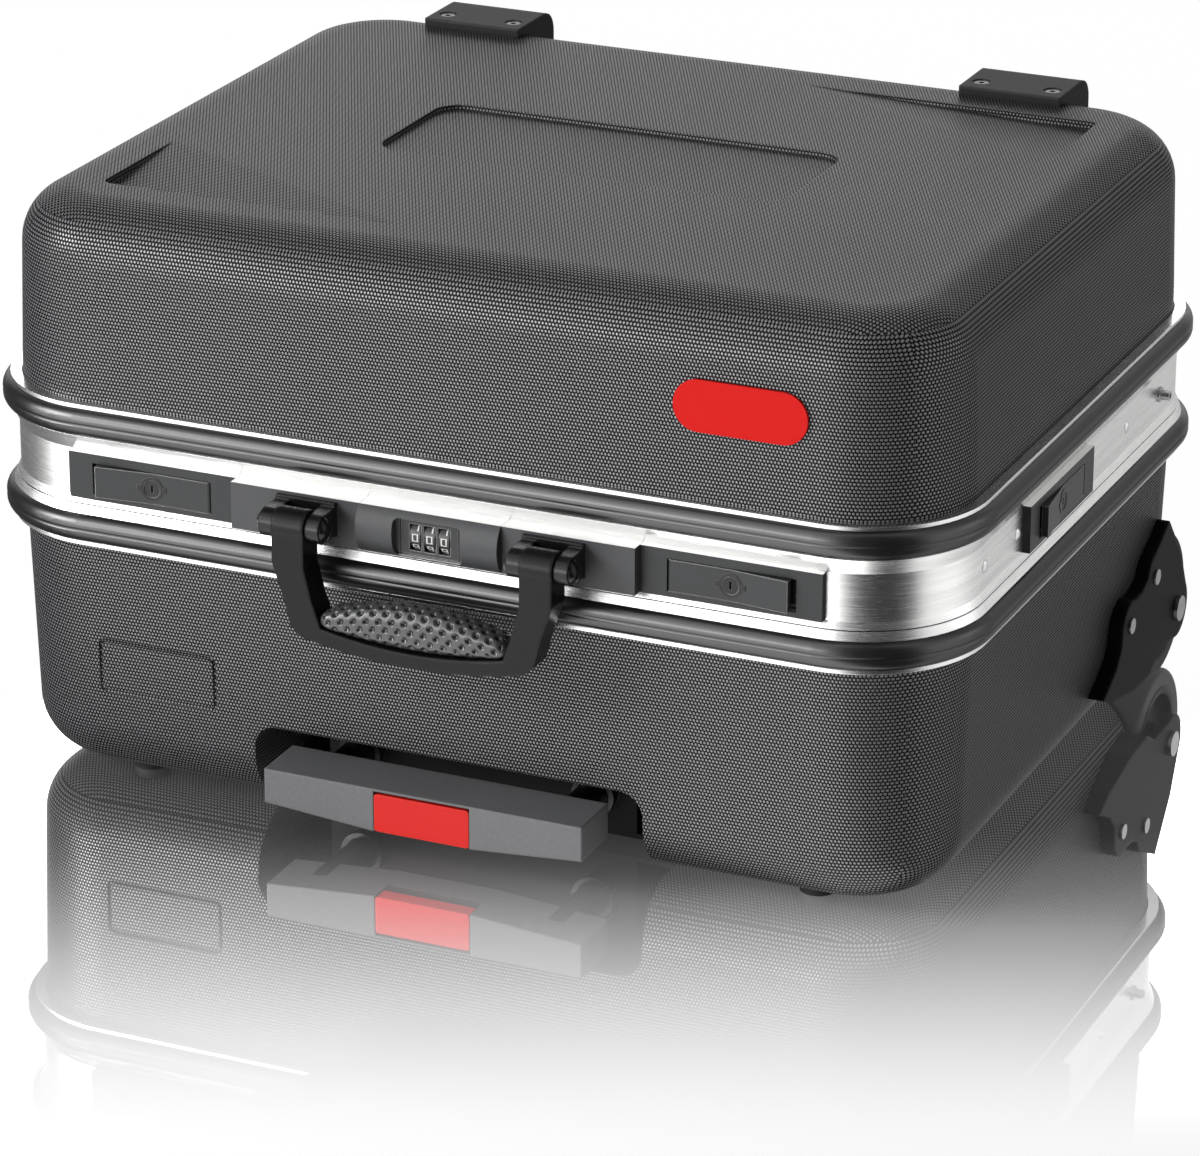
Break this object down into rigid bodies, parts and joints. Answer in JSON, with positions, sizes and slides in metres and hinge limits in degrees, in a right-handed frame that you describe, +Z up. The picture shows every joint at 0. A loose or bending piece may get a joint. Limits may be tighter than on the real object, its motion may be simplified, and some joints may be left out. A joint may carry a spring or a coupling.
{
  "type": "rolling hard tool case",
  "caption": "Hard two-shell tool case in aluminium frames, with a hinged lid, lever latches, carry handle, combination lock, telescopic pull handle and wheels.",
  "frame": {"origin": "on the floor under the middle of the whole part's bounding box (the case lies on its wheels and front pads, lid closed)", "axes": "+Z up, the front with the carry handle faces -Y, the rear hinge is at +Y, +X to the right seen from the front"},
  "size_m": [0.51, 0.432, 0.3006],
  "materials": {
    "shell_plastic": "fine pebbled charcoal moulding",
    "bumper_plastic": "satin black",
    "frame_aluminium": "brushed lengthways",
    "seal_rubber": "dull",
    "bright_steel": "plain steel",
    "latch_metal": "dark grey, fine grain",
    "lever_metal": "dark grey with bright worn edges",
    "black_plastic": "black, slight sheen",
    "handle_plastic": "black, fine satin",
    "grip_plastic": "dark grey, speckled",
    "red_plastic": "glossy red",
    "digit_plastic": "black with white figures",
    "tube_aluminium": "dark anodised drawn tube",
    "tyre_rubber": "matt black",
    "dark_screw": "black oxide"
  },
  "bodies": {
    "base": {"base_shell": "shell_plastic", "base_frame": "frame_aluminium", "base_bumper": "bumper_plastic", "frame_seal": "seal_rubber", "latch_keepers": "bright_steel", "hinge_base_leaves": "bright_steel", "hinge_pins": "bright_steel", "stay_brackets": "bright_steel", "base_pads": "seal_rubber", "wheel_housing_left": "black_plastic", "wheel_housing_right": "black_plastic", "housing_rivets": "bright_steel", "wheel_axles": "bright_steel", "trolley_cover": "black_plastic", "trolley_brackets": "black_plastic", "trolley_outer_tubes": "tube_aluminium"},
    "lid": {"lid_shell": "shell_plastic", "lid_frame": "frame_aluminium", "lid_bumper": "bumper_plastic", "hinge_lid_leaves": "bright_steel", "stay_studs": "bright_steel", "frame_rivets": "frame_aluminium", "stand_feet": "black_plastic", "stand_foot_screws": "dark_screw", "badge": "red_plastic", "front_latch_plates": "latch_metal", "side_latch_plates": "latch_metal", "handle_plates": "latch_metal", "handle_brackets": "black_plastic", "handle_pins": "black_plastic", "combination_plate": "latch_metal", "combination_case": "lever_metal", "digit_axle": "bright_steel"},
    "lever_front_left_body": {"lever_front_left": "lever_metal"},
    "lever_front_right_body": {"lever_front_right": "lever_metal"},
    "lever_side_left_body": {"lever_side_left": "lever_metal"},
    "lever_side_right_body": {"lever_side_right": "lever_metal"},
    "plug_front_left_body": {"plug_front_left": "lever_metal"},
    "plug_front_right_body": {"plug_front_right": "lever_metal"},
    "plug_side_left_body": {"plug_side_left": "lever_metal"},
    "plug_side_right_body": {"plug_side_right": "lever_metal"},
    "handle": {"carry_handle": "handle_plastic", "handle_grip": "handle_plastic"},
    "digit_1": {"digit_wheel_1": "digit_plastic"},
    "digit_2": {"digit_wheel_2": "digit_plastic"},
    "digit_3": {"digit_wheel_3": "digit_plastic"},
    "stay_left": {"stay_arm_left": "bright_steel"},
    "stay_right": {"stay_arm_right": "bright_steel"},
    "trolley_stage_1": {"trolley_middle_tubes": "tube_aluminium"},
    "trolley_stage_2": {"trolley_inner_tubes": "tube_aluminium", "trolley_grip": "grip_plastic"},
    "release": {"release_button": "red_plastic", "release_rods": "bright_steel", "release_spring": "bright_steel"},
    "wheel_left": {"wheel_hub_left": "black_plastic", "wheel_tyre_left": "tyre_rubber"},
    "wheel_right": {"wheel_hub_right": "black_plastic", "wheel_tyre_right": "tyre_rubber"}
  },
  "joints": [
    {"name": "lid_hinge", "type": "hinge", "parent": "base", "child": "lid", "pos_m": [0, 0.2105, 0.1506], "axis": [-1, 0, 0], "range_deg": [0, 95]},
    {"name": "stay_turn_left", "type": "hinge", "parent": "base", "child": "stay_left", "pos_m": [-0.23415, 0.13574, 0.12339], "axis": [-1, 0, 0], "range_deg": [0, 48]},
    {"name": "stay_turn_right", "type": "hinge", "parent": "base", "child": "stay_right", "pos_m": [0.23415, 0.13574, 0.12339], "axis": [-1, 0, 0], "range_deg": [0, 48]},
    {"name": "lever_front_left_turn", "type": "hinge", "parent": "lid", "child": "lever_front_left_body", "pos_m": [-0.11975, -0.187, 0.16525], "axis": [0, 0, 1], "range_deg": [0, 60]},
    {"name": "lever_front_right_turn", "type": "hinge", "parent": "lid", "child": "lever_front_right_body", "pos_m": [0.11975, -0.187, 0.16525], "axis": [0, 0, -1], "range_deg": [0, 60]},
    {"name": "lever_side_left_turn", "type": "hinge", "parent": "lid", "child": "lever_side_left_body", "pos_m": [-0.25, 0.00445, 0.16525], "axis": [0, 0, -1], "range_deg": [0, 60]},
    {"name": "lever_side_right_turn", "type": "hinge", "parent": "lid", "child": "lever_side_right_body", "pos_m": [0.25, 0.00445, 0.16525], "axis": [0, 0, 1], "range_deg": [0, 60]},
    {"name": "plug_front_left_turn", "type": "hinge", "parent": "lever_front_left_body", "child": "plug_front_left_body", "pos_m": [-0.1492, -0.1888, 0.16525], "axis": [0, -1, 0], "range_deg": [0, 90]},
    {"name": "plug_front_right_turn", "type": "hinge", "parent": "lever_front_right_body", "child": "plug_front_right_body", "pos_m": [0.1492, -0.1888, 0.16525], "axis": [0, -1, 0], "range_deg": [0, 90]},
    {"name": "plug_side_left_turn", "type": "hinge", "parent": "lever_side_left_body", "child": "plug_side_left_body", "pos_m": [-0.2518, -0.025, 0.16525], "axis": [-1, 0, 0], "range_deg": [0, 90]},
    {"name": "plug_side_right_turn", "type": "hinge", "parent": "lever_side_right_body", "child": "plug_side_right_body", "pos_m": [0.2518, -0.025, 0.16525], "axis": [1, 0, 0], "range_deg": [0, 90]},
    {"name": "handle_swing", "type": "hinge", "parent": "lid", "child": "handle", "pos_m": [0, -0.2075, 0.16745], "axis": [-1, 0, 0], "range_deg": [0, 100]},
    {"name": "digit_1_turn", "type": "hinge", "parent": "lid", "child": "digit_1", "pos_m": [-0.0074, -0.1861, 0.16525], "axis": [1, 0, 0], "continuous": true},
    {"name": "digit_2_turn", "type": "hinge", "parent": "lid", "child": "digit_2", "pos_m": [0, -0.1861, 0.16525], "axis": [1, 0, 0], "continuous": true},
    {"name": "digit_3_turn", "type": "hinge", "parent": "lid", "child": "digit_3", "pos_m": [0.0074, -0.1861, 0.16525], "axis": [1, 0, 0], "continuous": true},
    {"name": "trolley_slide_1", "type": "slide", "parent": "base", "child": "trolley_stage_1", "axis": [0, -1, 0], "range_m": [0, 0.23]},
    {"name": "trolley_slide_2", "type": "slide", "parent": "trolley_stage_1", "child": "trolley_stage_2", "axis": [0, -1, 0], "range_m": [0, 0.23]},
    {"name": "release_press", "type": "slide", "parent": "trolley_stage_2", "child": "release", "axis": [0, 1, 0], "range_m": [0, 0.003], "stiffness_N_per_m": 600},
    {"name": "wheel_left_spin", "type": "hinge", "parent": "base", "child": "wheel_left", "pos_m": [-0.228, 0.169, 0.038], "axis": [1, 0, 0], "continuous": true},
    {"name": "wheel_right_spin", "type": "hinge", "parent": "base", "child": "wheel_right", "pos_m": [0.228, 0.169, 0.038], "axis": [1, 0, 0], "continuous": true}
  ],
  "couplings": [
    {"joint": "stay_turn_left", "follows": "lid_hinge", "ratio": 0.5},
    {"joint": "stay_turn_right", "follows": "lid_hinge", "ratio": 0.5}
  ]
}
